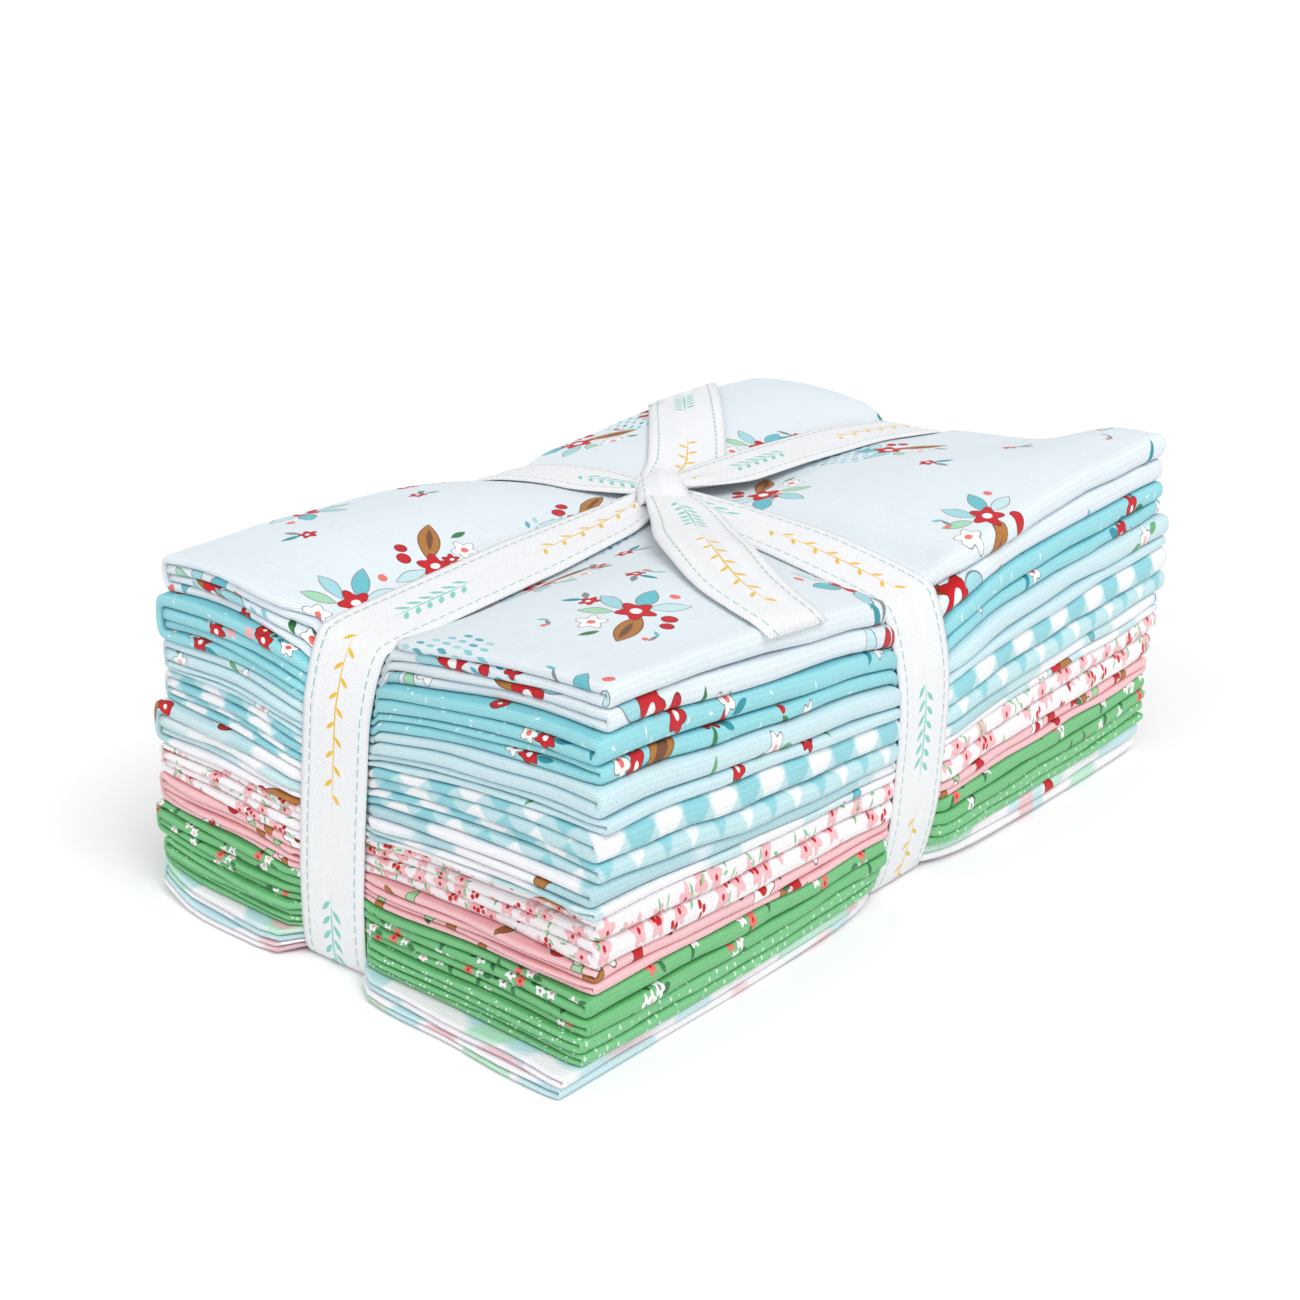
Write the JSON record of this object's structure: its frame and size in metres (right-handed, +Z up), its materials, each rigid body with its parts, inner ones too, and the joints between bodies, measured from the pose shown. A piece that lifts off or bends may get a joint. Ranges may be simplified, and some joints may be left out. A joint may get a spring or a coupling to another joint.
{
  "type": "tied stack of folded quilting fabric",
  "caption": "Stack of folded cotton quilting fabrics in aqua, white, pink and green, tied crosswise with a flat ribbon and a knot on top.",
  "frame": {"origin": "middle of the stack's footprint, at the height of its underside", "axes": "+X along the stack's length, +Y across it from the two-fold side to the outer-fold side, +Z up"},
  "size_m": [0.2422, 0.1446, 0.0917],
  "materials": {
    "cotton_ice": "printed plain-weave cotton, matt",
    "cotton_aqua": "printed plain-weave cotton, matt",
    "cotton_pale_aqua": "printed plain-weave cotton, matt",
    "cotton_check": "printed plain-weave cotton, matt",
    "cotton_cloud": "printed plain-weave cotton, matt",
    "cotton_ditsy": "printed plain-weave cotton, matt",
    "cotton_rose": "printed plain-weave cotton, matt",
    "cotton_green_floral": "printed plain-weave cotton, matt",
    "cotton_green_dotted": "printed plain-weave cotton, matt",
    "cotton_white": "printed plain-weave cotton, matt",
    "ribbon_twill": "white herringbone twill tape, matt"
  },
  "bodies": {
    "root": {"cloth_01_ice_floral": "cotton_ice", "cloth_02_aqua_sprig": "cotton_aqua", "cloth_03_pale_aqua": "cotton_pale_aqua", "cloth_04_aqua_check": "cotton_check", "cloth_05_white_cloud": "cotton_cloud", "cloth_06_pink_ditsy": "cotton_ditsy", "cloth_07_rose": "cotton_rose", "cloth_08_green_floral": "cotton_green_floral", "cloth_09_green_dotted": "cotton_green_dotted", "cloth_10_white_print": "cotton_white", "ribbon_lengthwise": "ribbon_twill", "ribbon_crosswise": "ribbon_twill", "ribbon_knot": "ribbon_twill", "ribbon_tail_front": "ribbon_twill", "ribbon_tail_back": "ribbon_twill"}
  },
  "joints": []
}
